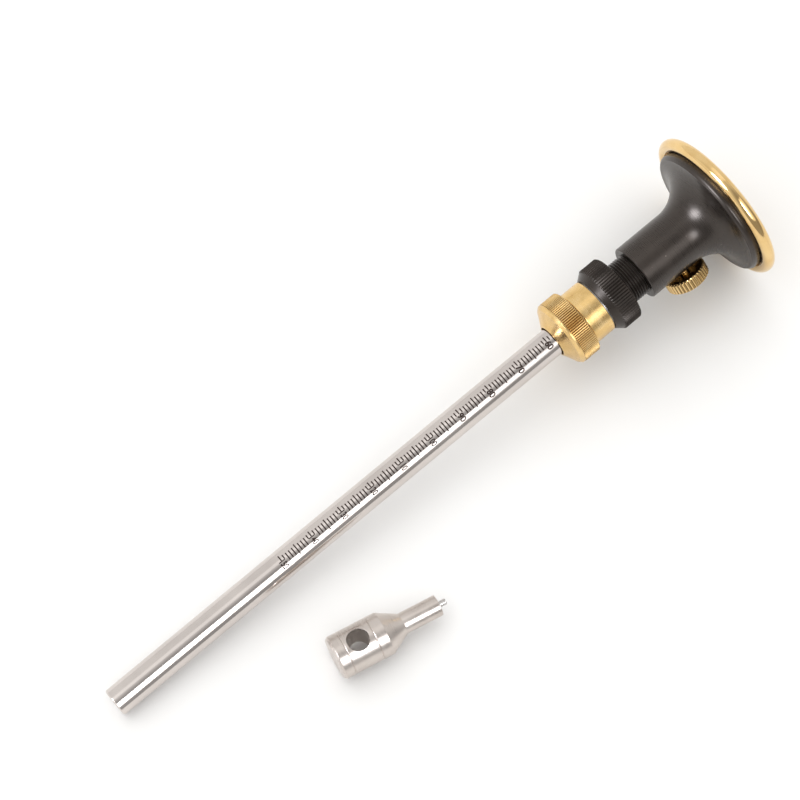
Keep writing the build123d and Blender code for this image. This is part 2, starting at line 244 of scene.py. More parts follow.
# ------------------------------------------------------------------ materials
class Finish:
    """A material put together from nodes, with a principled shader at its end.

    turned_by is the placement of the piece's axis where the piece's own mesh is already turned.
    """

    def __init__(self, name, turned_by=None, **values):
        self.material = bpy.data.materials.new(name)
        self.material.use_nodes = True
        self.tree = self.material.node_tree
        self.shader = self.tree.nodes["Principled BSDF"]
        for socket, value in values.items():
            self.shader.inputs[socket.replace("_", " ")].default_value = value
        self.place = self.node("ShaderNodeTexCoord").outputs["Object"]
        if turned_by:
            to_axis = {"Vector": self.place, "Rotation": turned_by.to_euler()}
            self.place = self.node("ShaderNodeMapping", to_axis, vector_type="TEXTURE").outputs[0]

    def node(self, kind, inputs=None, **settings):
        """Adds a node. Its inputs are given values, or are linked to other nodes' outputs."""
        made = self.tree.nodes.new(kind)
        for setting, value in settings.items():
            setattr(made, setting, value)
        for socket, value in (inputs or {}).items():
            if isinstance(value, bpy.types.NodeSocket):
                self.tree.links.new(value, made.inputs[socket])
            else:
                made.inputs[socket].default_value = value
        return made

    def set(self, socket, source):
        self.tree.links.new(source, self.shader.inputs[socket])

    def stretched(self, x, y, z):
        """The place on the piece, scaled along each axis, in cycles per metre."""
        return self.node("ShaderNodeMapping", {"Vector": self.place, "Scale": (x, y, z)}).outputs[0]

    def turning(self, pitch, round_pitch):
        """A place that runs quickly across the turning lines and slowly along them."""
        apart = self.node("ShaderNodeSeparateXYZ", {"Vector": self.place})
        sweep = self.node("ShaderNodeCombineXYZ", {"Y": apart.outputs["Y"], "Z": apart.outputs["Z"]})
        radius = self.node("ShaderNodeVectorMath", {0: sweep.outputs[0]}, operation="LENGTH")
        across = self.node("ShaderNodeMath", {0: apart.outputs["X"], 1: radius.outputs["Value"]})
        fine = self.node("ShaderNodeMath", {0: across.outputs[0], 1: 1 / pitch}, operation="MULTIPLY")
        slow = self.node("ShaderNodeVectorMath", {0: sweep.outputs[0], "Scale": 1 / round_pitch},
                         operation="SCALE")
        parts = self.node("ShaderNodeSeparateXYZ", {"Vector": slow.outputs[0]})
        return self.node("ShaderNodeCombineXYZ", {
            "X": fine.outputs[0],
            "Y": parts.outputs["Y"],
            "Z": parts.outputs["Z"],
        }).outputs[0]

    def noise(self, place, scale=1.0, detail=3.0, roughness=0.55, distortion=0.0):
        return self.node("ShaderNodeTexNoise", {
            "Vector": place,
            "Scale": scale,
            "Detail": detail,
            "Roughness": roughness,
            "Distortion": distortion,
        }).outputs["Fac"]

    def spots(self, place, scale, size):
        """1 at the middle of scattered spots, falling to 0 at their edges."""
        cells = self.node("ShaderNodeTexVoronoi", {"Vector": place, "Scale": scale, "Randomness": 1.0})
        return self.range(cells.outputs["Distance"], size, 0.0, 0.0, 1.0)

    def range(self, factor, start, end, low, high):
        """Maps a factor from start..end to low..high, held at both ends."""
        return self.node("ShaderNodeMapRange", {
            "Value": factor,
            "From Min": start,
            "From Max": end,
            "To Min": low,
            "To Max": high,
        }).outputs["Result"]

    def swing(self, noise, low, high):
        """Maps a noise, most of which lies between 0.3 and 0.7, to low..high."""
        return self.range(noise, 0.3, 0.7, low, high)

    def math(self, operation, first, second):
        return self.node("ShaderNodeMath", {0: first, 1: second}, operation=operation).outputs[0]

    def roughness(self, broad, fine):
        """Roughness with broad changes, and fine ones added to them."""
        self.set("Roughness", self.math("ADD", broad, fine))

    def ramp(self, factor, stops):
        """Colour from a factor, with (position, colour) stops."""
        made = self.node("ShaderNodeValToRGB", {"Fac": factor})
        elements = made.color_ramp.elements
        while len(elements) < len(stops):
            elements.new(0.5)
        for element, (position, colour) in zip(elements, stops):
            element.position = position
            element.color = (*colour, 1)
        return made.outputs["Color"]

    def blend(self, factor, first, second):
        """Mix of two colours; the second is a plain colour."""
        made = self.node("ShaderNodeMix", data_type="RGBA")
        sockets = {socket.identifier: socket for socket in made.inputs}
        self.tree.links.new(factor, sockets["Factor_Float"])
        self.tree.links.new(first, sockets["A_Color"])
        sockets["B_Color"].default_value = (*second, 1)
        return next(socket for socket in made.outputs if socket.identifier == "Result_Color")

    def crevice(self, reach):
        """Mask for painted shade: 1 in the bottom of grooves narrower than a reach in metres, falling to 0 in the
        open.
        """
        deep = 0.45
        open_air = 0.95
        openness = self.node("ShaderNodeAmbientOcclusion", {"Distance": reach}, samples=8, only_local=True)
        return self.range(openness.outputs["AO"], deep, open_air, 1.0, 0.0)

    def bump(self, height, depth, strength=1.0, under=None):
        """Bump of a real depth in metres."""
        inputs = {"Height": height, "Distance": depth, "Strength": strength}
        if under:
            inputs["Normal"] = under
        return self.node("ShaderNodeBump", inputs).outputs["Normal"]

    def anisotropy(self, amount):
        """Stretches highlights across the turning lines."""
        self.shader.inputs["Anisotropic"].default_value = amount
        tangent = self.node("ShaderNodeTangent", direction_type="RADIAL", axis="X")
        self.set("Tangent", tangent.outputs[0])


def satin_brass():
    """Fine-turned brass with uneven tarnish and a few darker stains, and painted shade that darkens the bottoms of
    its grooves.
    """
    finish = Finish("satin_brass", Metallic=1.0)
    lines = finish.noise(finish.turning(0.00009, 0.012), detail=4.0, roughness=0.7)
    cloud = finish.noise(finish.place, 260, 4.0, 0.6, 0.4)
    stain = finish.noise(finish.place, 900, 3.0, 0.65)
    colour = finish.ramp(cloud, [
        (0.30, (0.70, 0.46, 0.18)),
        (0.52, (0.80, 0.55, 0.235)),
        (0.75, (0.87, 0.63, 0.31)),
    ])
    colour = finish.blend(finish.range(stain, 0.62, 0.74, 0.0, 0.55), colour, (0.50, 0.29, 0.12))
    # painted shade: the bottoms of narrow grooves are darkened toward brown
    colour = finish.blend(finish.crevice(0.0006), colour, (0.36, 0.21, 0.08))
    finish.set("Base Color", colour)
    finish.roughness(finish.swing(cloud, 0.16, 0.28), finish.swing(lines, -0.04, 0.06))
    finish.set("Normal", finish.bump(lines, 0.000004, 0.7))
    finish.anisotropy(0.35)
    return finish.material


def polished_brass():
    """Bright polished brass with fine wiping scratches and faint finger marks, and painted shade that darkens the
    bottoms of its grooves.
    """
    finish = Finish("polished_brass", Metallic=1.0)
    smear = finish.noise(finish.place, 180, 3.0, 0.5, 0.8)
    scratches = finish.noise(finish.turning(0.00005, 0.02), detail=5.0, roughness=0.75)
    streaks = finish.noise(finish.turning(0.0004, 0.03), detail=4.0, roughness=0.7)
    colour = finish.ramp(smear, [(0.3, (0.77, 0.52, 0.22)), (0.7, (0.85, 0.61, 0.29))])
    colour = finish.blend(finish.range(streaks, 0.54, 0.70, 0.0, 0.55), colour, (0.50, 0.31, 0.12))
    # painted shade: the bottoms of narrow grooves are darkened toward brown
    colour = finish.blend(finish.crevice(0.0006), colour, (0.27, 0.15, 0.055))
    finish.set("Base Color", colour)
    handled = finish.range(smear, 0.35, 0.7, 0.07, 0.15)
    finish.roughness(handled, finish.range(scratches, 0.55, 0.8, 0.0, 0.08))
    finish.set("Normal", finish.bump(scratches, 0.0000015, 0.5))
    return finish.material


def black_anodised(name, gloss):
    """Satin black anodised aluminium with turning lines, rubbed patches and dust."""
    finish = Finish(name, Metallic=0.0, Specular_IOR_Level=gloss, Specular_Tint=(1.0, 0.88, 0.80, 1.0))
    lines = finish.noise(finish.turning(0.00012, 0.015), detail=3.0, roughness=0.6)
    rubbed = finish.noise(finish.place, 150, 4.0, 0.6, 0.3)
    colour = finish.ramp(rubbed, [(0.3, (0.010, 0.0078, 0.0065)), (0.7, (0.021, 0.016, 0.013))])
    dust = finish.spots(finish.place, 420, 0.09)
    rare = finish.range(finish.noise(finish.place, 300, 1.0), 0.55, 0.6, 0.0, 0.5)
    colour = finish.blend(finish.math("MULTIPLY", dust, rare), colour, (0.45, 0.40, 0.35))
    finish.set("Base Color", colour)
    finish.roughness(finish.swing(rubbed, 0.25, 0.32), finish.swing(lines, -0.03, 0.04))
    finish.set("Normal", finish.bump(lines, 0.000003, 0.5))
    return finish.material


def bar_steel():
    """Ground stainless bar: faint lengthwise grain over fine grinding lines."""
    finish = Finish("bar_steel", Metallic=1.0)
    grain = finish.noise(finish.stretched(60, 5000, 5000), detail=4.0, roughness=0.6)
    lines = finish.noise(finish.turning(0.00008, 0.006), detail=4.0, roughness=0.7)
    cloud = finish.noise(finish.place, 90, 3.0, 0.55)
    finish.set("Base Color", finish.ramp(cloud, [(0.3, (0.60, 0.55, 0.52)), (0.7, (0.69, 0.635, 0.60))]))
    finish.roughness(finish.swing(cloud, 0.10, 0.14), finish.swing(grain, -0.02, 0.03))
    finish.set("Normal", finish.bump(lines, 0.000003, 0.5, finish.bump(grain, 0.000004, 0.5)))
    return finish.material


def turned_steel():
    """Turned stainless of the key: fine rings and a soft, slightly uneven shine."""
    finish = Finish("turned_steel", KEY, Metallic=1.0)
    lines = finish.noise(finish.turning(0.00007, 0.01), detail=4.0, roughness=0.7)
    cloud = finish.noise(finish.place, 160, 3.0, 0.6)
    finish.set("Base Color", finish.ramp(cloud, [(0.3, (0.56, 0.50, 0.46)), (0.7, (0.65, 0.59, 0.545))]))
    finish.roughness(finish.swing(cloud, 0.24, 0.31), finish.swing(lines, -0.02, 0.05))
    finish.set("Normal", finish.bump(lines, 0.000004, 0.6))
    return finish.material


def hard_steel():
    """Hardened steel, ground in fine rings, a little darker than the bar."""
    finish = Finish("hard_steel", Metallic=1.0)
    lines = finish.noise(finish.turning(0.00006, 0.01), detail=4.0, roughness=0.7)
    tint = finish.noise(finish.place, 400, 3.0, 0.6)
    finish.set("Base Color", finish.ramp(tint, [(0.3, (0.47, 0.45, 0.43)), (0.7, (0.60, 0.58, 0.56))]))
    finish.roughness(finish.swing(tint, 0.20, 0.30), finish.swing(lines, -0.04, 0.08))
    finish.set("Normal", finish.bump(lines, 0.000003, 0.7))
    return finish.material


def mark_black():
    """Etched marks of the scale: dark oxide, a little uneven."""
    finish = Finish("mark_black", Metallic=0.0, Specular_IOR_Level=0.2)
    burn = finish.noise(finish.place, 6000, 3.0, 0.6)
    colour = finish.ramp(burn, [(0.3, (0.014, 0.006, 0.004)), (0.75, (0.040, 0.020, 0.014))])
    finish.set("Base Color", colour)
    finish.set("Roughness", finish.swing(burn, 0.5, 0.7))
    finish.set("Normal", finish.bump(burn, 0.000004, 0.4))
    return finish.material


def pad_nylon():
    """Natural nylon of the pad under the thumbscrew."""
    finish = Finish("pad_nylon", Metallic=0.0, Subsurface_Weight=0.2)
    cloud = finish.noise(finish.place, 900, 3.0, 0.6)
    finish.set("Base Color", finish.ramp(cloud, [(0.3, (0.70, 0.68, 0.60)), (0.7, (0.84, 0.82, 0.76))]))
    finish.set("Roughness", finish.swing(cloud, 0.45, 0.6))
    finish.set("Normal", finish.bump(cloud, 0.00002, 0.4))
    return finish.material


FINISHES = {
    "satin_brass": satin_brass(),
    "polished_brass": polished_brass(),
    "black_anodised": black_anodised("black_anodised", 0.6),
    "black_knurled": black_anodised("black_knurled", 0.45),
    "bar_steel": bar_steel(),
    "turned_steel": turned_steel(),
    "hard_steel": hard_steel(),
    "pad_nylon": pad_nylon(),
}
MARKS = mark_black()


# ------------------------------------------------------------------ bar with its scale
BAR_START, BAR_END, SCREW_BORE, BAR_RADIUS = span("bar", GAUGE)
BAR_EDGE = 0.35  # bevel at the tail
TAP_END = span("cutter_screw", GAUGE).end + TAP_RELIEF

SCALE_LAST = 150
SCALE_FIRST = 3  # the marks before this one would lie under the cutter wheel
SCALE_TURN = 14.9  # middle of the scale, degrees from up toward the key's side
MARK_WIDTH = 0.34
MARK_PROUD = 0.006  # the marks stand this far above the bar
MARK_SUNK = 0.02  # and reach this far below its surface
MARK_STEP = 3  # degrees between the rings of points that bend a mark round the bar

# First and last edge of each kind of mark, in degrees from the scale's middle
TEN_MARK = (-38.0, -13.9)
FIVE_MARK = (-35.6, 12.2)
MARK_BY_FIGURE = (-31.0, -12.6)
PLAIN_MARK = (-29.0, 4.5)

FIGURE_HEIGHT = 1.95
FIGURE_WIDTH = 2.25  # of a whole number, whether it has two figures or three
FIGURE_WEIGHT = 0.032  # thickening of the strokes, as a part of the letter height
FIGURE_START = -13.4  # first figure's edge, degrees from the scale's middle
FIGURE_STEP = 0.1  # figures are cut this often, so that they follow the bar's curve
FIGURE_CURVE = 4  # points to a curved stretch of a figure
FIGURE_WELD = 0.002  # points of a figure closer than this are one point


def steel_bar():
    """Plain round bar, bevelled at its tail and tapped in front."""
    corners = [
        (BAR_START, SCREW_BORE, 0),
        (BAR_START, BAR_RADIUS, 0.06),
        (BAR_END - BAR_EDGE, BAR_RADIUS, 0.12),
        (BAR_END, BAR_RADIUS - BAR_EDGE, 0.12),
        (BAR_END, 0, 0),
        (TAP_END, 0, 0),
        (TAP_END, SCREW_BORE, 0),
    ]
    mesh = turned("steel_bar", corners, FINE)
    show("steel_bar", mesh, GAUGE, "bar", "bar_steel", FINISHES["bar_steel"], "bar")


def mark_reach(mark):
    """First and last edge of a mark, which leaves room for a figure."""
    if mark % 10 == 0:
        return TEN_MARK
    if mark % 5 == 0:
        return FIVE_MARK
    if mark % 10 in (1, 9):
        return MARK_BY_FIGURE
    return PLAIN_MARK


def on_bar(station, degrees, height):
    """Point over the bar's surface, at an angle from the scale's middle."""
    angle = math.radians(SCALE_TURN + degrees)
    radius = BAR_RADIUS + height
    return Vector((station, radius * math.sin(angle), radius * math.cos(angle))) * MM


def scale_marks():
    """Every millimetre mark, as a thin curved strip on the bar."""
    shape = bmesh.new()
    for mark in range(SCALE_FIRST, SCALE_LAST + 1):
        start, end = mark_reach(mark)
        steps = math.ceil((end - start) / MARK_STEP)
        rings = []
        for step in range(steps + 1):
            degrees = start + (end - start) * step / steps
            rings.append([
                shape.verts.new(on_bar(mark + side * MARK_WIDTH / 2, degrees, height))
                for side, height in ((-1, -MARK_SUNK), (-1, MARK_PROUD), (1, MARK_PROUD), (1, -MARK_SUNK))
            ])
        for low, high in zip(rings, rings[1:]):
            for here in range(len(low)):
                there = (here + 1) % len(low)
                shape.faces.new((low[here], high[here], high[there], low[there]))
        shape.faces.new(rings[0])
        shape.faces.new(rings[-1][::-1])
    bmesh.ops.recalc_face_normals(shape, faces=shape.faces)
    show("scale_marks", to_mesh("scale_marks", shape), GAUGE, "bar", "black_anodised", MARKS)


def figure_mesh(text):
    """Flat solid of a number, from its lower left corner, in millimetres."""
    curve = bpy.data.curves.new("figure", "FONT")
    curve.body = text
    curve.extrude = (MARK_PROUD + MARK_SUNK) / 2
    curve.resolution_u = FIGURE_CURVE
    curve.offset = FIGURE_WEIGHT
    item = bpy.data.objects.new("figure", curve)
    bpy.context.scene.collection.objects.link(item)
    bpy.context.view_layer.update()
    mesh = bpy.data.meshes.new_from_object(item.evaluated_get(bpy.context.evaluated_depsgraph_get()))
    bpy.data.objects.remove(item)
    shape = bmesh.new()
    shape.from_mesh(mesh)
    low_x = min(vertex.co.x for vertex in shape.verts)
    high_x = max(vertex.co.x for vertex in shape.verts)
    low_y = min(vertex.co.y for vertex in shape.verts)
    high_y = max(vertex.co.y for vertex in shape.verts)
    for vertex in shape.verts:
        vertex.co.x = (vertex.co.x - low_x) / (high_x - low_x) * FIGURE_WIDTH
        vertex.co.y = (vertex.co.y - low_y) / (high_y - low_y) * FIGURE_HEIGHT
    bmesh.ops.remove_doubles(shape, verts=shape.verts, dist=FIGURE_WELD)
    return shape


def scale_figures():
    """Numbers at every ten millimetres, wrapped on the bar with their tops toward the head."""
    figures = []
    for mark in range(10, SCALE_LAST + 1, 10):
        shape = figure_mesh(str(mark))
        width = max(vertex.co.x for vertex in shape.verts)
        for cut in range(1, int(width / FIGURE_STEP) + 1):
            everything = shape.verts[:] + shape.edges[:] + shape.faces[:]
            bmesh.ops.bisect_plane(
                shape, geom=everything, plane_co=(cut * FIGURE_STEP, 0, 0), plane_no=(1, 0, 0))
        for vertex in shape.verts:
            degrees = FIGURE_START + math.degrees(vertex.co.x / BAR_RADIUS)
            station = mark + FIGURE_HEIGHT / 2 - vertex.co.y
            height = MARK_PROUD if vertex.co.z > 0 else -MARK_SUNK
            vertex.co = on_bar(station, degrees, height)
        bmesh.ops.recalc_face_normals(shape, faces=shape.faces)
        figures.append(to_mesh("figure", shape))
    mesh = joined("scale_figures", figures)
    show("scale_figures", mesh, GAUGE, "bar", "black_anodised", MARKS)


# ------------------------------------------------------------------ cutter
HUB_RADIUS = 4.9
WHEEL_LAND = 0.05  # width of the cutting edge
BEVEL_DEPTH = 1.6
WHEEL_SCREW_SLOT = (0.9, 0.7)  # width, depth


def slotted_screw(face, head, thread, length, slot):
    """Countersunk screw lying along X, with its slotted head at a station and facing the front."""
    width, depth = slot
    sink = head - thread
    corners = [
        (face, 0, 0),
        (face, head, 0.05),
        (face + sink, thread, 0),
        (face + length, thread, 0.1),
        (face + length, 0, 0),
    ]
    place = Matrix.Translation((face * MM, 0, 0))
    return carved(turned("screw", corners, SMALL), slab(2 * depth, 3 * head, width), place)


def cutting_wheel():
    """Hardened wheel: flat in front, bevelled behind to a keen edge."""
    start, end, bore, radius = span("cutter_wheel", GAUGE)
    sink_radius = span("cutter_screw", GAUGE).outer + RUNNING
    corners = [
        (start, sink_radius, 0.03),
        (start, radius, 0),
        (start + WHEEL_LAND, radius, 0),
        (start + BEVEL_DEPTH, HUB_RADIUS, 0.1),
        (end, HUB_RADIUS, 0.06),
        (end, bore, 0),
        (start + sink_radius - bore, bore, 0),
    ]
    mesh = turned("cutting_wheel", corners)
    show("cutting_wheel", mesh, GAUGE, "wheel", "hard_steel", FINISHES["hard_steel"], "cutter_wheel")


def wheel_screw():
    """Slotted screw that holds the wheel on the bar."""
    screw = span("cutter_screw", GAUGE)
    length = screw.end - screw.start
    mesh = slotted_screw(screw.start, screw.outer, SCREW_BORE - RUNNING, length, WHEEL_SCREW_SLOT)
    show("wheel_screw", mesh, GAUGE, "bar", "hard_steel", FINISHES["hard_steel"], "cutter_screw")


# ------------------------------------------------------------------ head
PLATE_SCREWS = 3
PLATE_CIRCLE = 13.5
PLATE_HEAD = 2.3
PLATE_THREAD = 1.2
PLATE_SLOT = (0.5, 0.55)  # width, depth
PLATE_CHAMFER = 0.4
PLATE_SCREW = span("face_plate_screws", GAUGE)
PLATE = span("face_plate", GAUGE)
FACE = PLATE.start
WHEEL_POCKET = PLATE.inner
RIM_RADIUS = PLATE.outer
RIM_ROUND = 1.75
RIM_STATION = FACE + RIM_ROUND
RIM_CENTRE = RIM_RADIUS - RIM_ROUND
RIM_STEPS = 28
LIP_RADIUS = 19.4
FACE_HOLD = 0.4  # width of the face's outermost ring

FLANGE_BACK = 4.25
FLANGE_CHAMFER = 0.7
FLARE_STEPS = 24
BARREL_RADIUS = 8.0
BARREL_CHAMFER = 0.25
BARREL_HOLD = 0.3  # width of the barrel's last ring before its chamfer
POCKET_FLOOR = 5.6
THREAD_BORE_START = 20.15  # the collet stops just short of this
THREAD_BORE = span("adjuster_sleeve", GAUGE).outer + RUNNING
STEM_RADIUS = 1.5
SPOTFACE_RADIUS = 3.3
SPOTFACE_HEIGHT = 7.6  # distance of the flat from the gauge axis

KNOB_INNER = 8.8  # distance of the knob's inner face from the gauge axis
KNOB_TEETH = 36
KNOB_FLUTE = 0.26  # depth
KNOB_FLUTE_STEPS = 12  # segments to a flute
KNOB_FLUTE_SHAPE = 0.8  # less than 1 makes the flutes sharper at the bottom
KNOB_BEVEL = 0.3
KNOB_LAND = 0.15  # the knob's faces end this far inside the bottom of the flutes
KNOB_HOLD = 0.9  # where the inner face's last ring starts, in from the edge
KNOB_RIM = 1.3  # width of the raised rim round the dish
KNOB_DISH = 0.25  # depth
KNOB_DISH_SLOPE = 0.5  # width of the slope into the dish


def round_the_axis(mesh, radius):
    """Copies of a mesh spaced evenly round the gauge axis, as one mesh."""
    outward = Matrix.Translation((0, 0, radius * MM))
    copies = []
    for index in range(PLATE_SCREWS):
        copy = mesh.copy()
        copy.transform(Matrix.Rotation(-TURN * index / PLATE_SCREWS, 4, "X") @ outward)
        copies.append(copy)
    return joined("copies", copies)


def rim_arc():
    """Points round the full rim of the face, from its front to its lip."""
    first = -TURN / 4
    last = math.acos((LIP_RADIUS - RIM_CENTRE) / RIM_ROUND)
    points = []
    for step in range(RIM_STEPS + 1):
        angle = first + (last - first) * step / RIM_STEPS
        station = RIM_STATION + RIM_ROUND * math.sin(angle)
        points.append((station, RIM_CENTRE + RIM_ROUND * math.cos(angle)))
    return points


def brass_face():
    """Brass disc with a full-round rim, recessed behind for the flange and drilled for its screws."""
    rim = rim_arc()
    lip_station = rim[-1][0]
    inside = rounded([
        (lip_station, LIP_RADIUS, 0),
        (RIM_STATION, LIP_RADIUS, 0),
        (RIM_STATION, WHEEL_POCKET, 0),
        (FACE + PLATE_CHAMFER, WHEEL_POCKET, 0.08),
        (FACE, WHEEL_POCKET + PLATE_CHAMFER, 0.08),
        (FACE, RIM_CENTRE - FACE_HOLD, 0),
        (FACE, RIM_CENTRE, 0),
    ])
    outline = rim + inside[1:-1]
    mesh = skin("brass_face", lambda angle: outline, FINE)
    sink = PLATE_HEAD - PLATE_THREAD
    hole = PLATE_THREAD + RUNNING
    countersink = turned("countersink", [
        (FACE - 1, 0, 0),
        (FACE - 1, PLATE_HEAD + RUNNING + 1, 0),
        (FACE + sink, hole, 0),
        (RIM_STATION + 1, hole, 0),
        (RIM_STATION + 1, 0, 0),
    ], SMALL)
    mesh = carved(mesh, round_the_axis(countersink, PLATE_CIRCLE))
    show("brass_face", mesh, GAUGE, "head", "polished_brass", FINISHES["polished_brass"], "face_plate")


def face_screws():
    """The small screws that hold the brass face on the body."""
    length = PLATE_SCREW.end - PLATE_SCREW.start
    screw = slotted_screw(PLATE_SCREW.start, PLATE_HEAD, PLATE_THREAD, length, PLATE_SLOT)
    screws = round_the_axis(screw, PLATE_CIRCLE)
    show("face_screws", screws, GAUGE, "head", "hard_steel", FINISHES["hard_steel"], "face_plate_screws")


def peg(name, start, end, radius, segments):
    """Plain cylinder on the axis between two stations, to carve a hole with."""
    return turned(name, [(start, 0, 0), (start, radius, 0), (end, radius, 0), (end, 0, 0)], segments)


def fence_flare():
    """Black body: flange, quarter-round flare and barrel, bored through and drilled for its screws."""
    start, end, bore, radius = span("fence_body", GAUGE)
    rim_back = radius - FLANGE_CHAMFER
    flare = rim_back - BARREL_RADIUS
    corners = [
        (start, WHEEL_POCKET, 0),
        (start, radius, 0.1),
        (FLANGE_BACK - FLANGE_CHAMFER, radius, 1.0),
        (FLANGE_BACK, rim_back, 0.14),
    ]
    for step in range(1, FLARE_STEPS + 1):
        angle = TURN / 4 * step / FLARE_STEPS
        station = FLANGE_BACK + flare * (1 - math.cos(angle))
        corners.append((station, rim_back - flare * math.sin(angle), 0))
    corners += [
        (end - BARREL_CHAMFER - BARREL_HOLD, BARREL_RADIUS, 0),
        (end - BARREL_CHAMFER, BARREL_RADIUS, 0),
        (end, BARREL_RADIUS - BARREL_CHAMFER, 0),
        (end, THREAD_BORE, 0),
        (THREAD_BORE_START, THREAD_BORE, 0),
        (THREAD_BORE_START, bore, 0),
        (POCKET_FLOOR, bore, 0),
        (POCKET_FLOOR, WHEEL_POCKET, 0),
    ]
    mesh = turned("fence_flare", corners, FINE)
    tapped = peg("tapped", start - 1, PLATE_SCREW.end + TAP_RELIEF, PLATE_THREAD + RUNNING, SMALL)
    mesh = carved(mesh, round_the_axis(tapped, PLATE_CIRCLE))
    outside = 2 * BARREL_RADIUS
    to_knob = GAUGE.inverted() @ KNOB
    mesh = carved(mesh, peg("stem_hole", 0, outside, STEM_RADIUS + RUNNING, SMALL), to_knob)
    mesh = carved(mesh, peg("spotface", SPOTFACE_HEIGHT, outside, SPOTFACE_RADIUS, MEDIUM), to_knob)
    show("fence_flare", mesh, GAUGE, "head", "black_anodised", FINISHES["black_anodised"], "fence_body")


def locking_knob():
    """Brass thumbscrew: fluted edge, flat inner face, dished outer face and a plain stem."""
    screw = span("thumbscrew", KNOB)
    end = screw.end
    radius = screw.outer
    edge = radius - KNOB_FLUTE - KNOB_LAND
    outline = rounded([
        (screw.start, 0, 0),
        (screw.start, STEM_RADIUS, 0.2),
        (KNOB_INNER, STEM_RADIUS, 0.15),
        (KNOB_INNER, radius - KNOB_HOLD, 0),
        (KNOB_INNER, edge, 0),
        (KNOB_INNER + KNOB_BEVEL, radius, 0.08),
        (end - KNOB_BEVEL, radius, 0.08),
        (end, edge, 0.1),
        (end, radius - KNOB_RIM, 0.2),
        (end - KNOB_DISH, radius - KNOB_RIM - KNOB_DISH_SLOPE, 0.2),
        (end - KNOB_DISH, 0, 0),
    ])

    def section(angle):
        flute = KNOB_FLUTE * (1 - abs(math.sin(angle * KNOB_TEETH / 2)) ** KNOB_FLUTE_SHAPE)
        return [(station, min(r, radius - flute)) for station, r in outline]

    mesh = skin("locking_knob", section, KNOB_TEETH * KNOB_FLUTE_STEPS)
    finish = FINISHES["polished_brass"]
    show("locking_knob", mesh, KNOB, "thumbscrew", "polished_brass", finish, "thumbscrew")


# ------------------------------------------------------------------ threads
THREAD_PITCH = 0.75
THREAD_DEPTH = 0.45
THREAD_ROWS = 8  # rows of points to one pitch of a thread
THREAD_FLAT = 1 / THREAD_ROWS  # flat bottom, as a part of one pitch
THREAD_FLANK = 3 / THREAD_ROWS  # each slope, as a part of one pitch


def thread_rows(angle, start, end, crest):
    """Points of a right-handed thread at an angle, held to its ends."""
    def radius_at(station):
        phase = ((station - start) / THREAD_PITCH - angle / TURN) % 1
        rise = min(1.0, max(0.0, (phase - THREAD_FLAT) / THREAD_FLANK), (1 - phase) / THREAD_FLANK)
        return crest - THREAD_DEPTH * (1 - rise)

    count = math.ceil((end - start) / THREAD_PITCH) + 1
    rows = []
    for row in range(-THREAD_ROWS, count * THREAD_ROWS + 1):
        station = start + (row / THREAD_ROWS + angle / TURN) * THREAD_PITCH
        station = min(max(station, start), end)
        rows.append((station, radius_at(station)))
    return rows


# ------------------------------------------------------------------ fine adjuster
RING = span("adjuster_ring", GAUGE)
RING_TEETH = 74
RING_GROOVE = 0.4
RING_CREST = 0.15  # flat part of a tooth, out of one pitch
RING_EDGE = 0.3
RING_BACK = 40.35  # where the bevel starts
RING_END_RADIUS = 7.9


def threaded_sleeve():
    """Black sleeve with its fine outside thread and the plain seat of the ring."""
    start, end, bore, crest = span("adjuster_sleeve", GAUGE)

    def section(angle):
        thread = thread_rows(angle, start, RING.start, crest)
        return [(start, bore)] + thread + [(RING.start, RING.inner), (end, RING.inner), (end, bore)]

    mesh = skin("threaded_sleeve", section)
    finish = FINISHES["black_knurled"]
    show("threaded_sleeve", mesh, GAUGE, "adjuster", "black_anodised", finish, "adjuster_sleeve")


def knurled_ring():
    """Black ring of the fine adjuster: straight knurling, flat in front and bevelled behind."""
    start, end, seat, radius = RING
    bevel = (end - RING_BACK) / (radius - RING_END_RADIUS)
    below = RING_GROOVE + HOLD
    outline = rounded([
        (start, seat, 0),
        (start, radius - RING_EDGE - KNURL_FACE, 0),
        (start, radius - RING_EDGE, 0),
        (start + RING_EDGE, radius, 0),
        (RING_BACK, radius, 0),
        (RING_BACK + RING_GROOVE * bevel, radius - RING_GROOVE, 0),
        (RING_BACK + below * bevel, radius - below, 0),
        (end, RING_END_RADIUS, 0.1),
        (end, seat, 0),
    ])

    def section(angle):
        limit = radius - groove(angle, RING_TEETH, RING_GROOVE, RING_CREST)
        return [(station, min(r, limit)) for station, r in outline]

    mesh = skin("knurled_ring", section, RING_TEETH * KNURL_STEPS)
    finish = FINISHES["black_knurled"]
    show("knurled_ring", mesh, GAUGE, "adjuster", "black_anodised", finish, "adjuster_ring")


# ------------------------------------------------------------------ collet
COLLET_TUBE = 5.0
COLLET_THREAD = 6.0
COLLET_ROOT = COLLET_THREAD - THREAD_DEPTH
CLIP_GROOVE = 4.6
COLLAR_START = 43.0
COLLAR_END = 49.1
NOSE_START = 52.9
NOSE_RADIUS = 4.9
SLIT_WIDTH = 0.8
SLIT_START = 49.6

NUT_TEETH = 97
NUT_GROOVE = 0.3
NUT_CREST = 0.3  # flat part of a tooth, out of one pitch
NUT_EDGE = 0.3
NUT_KNURL_END = 54.5
NUT_RIM_END = 55.0
NUT_CHAMFER = 0.8
NUT_STEP = 0.15
NUT_LAND = 0.3  # width of the flat ring round the mouth


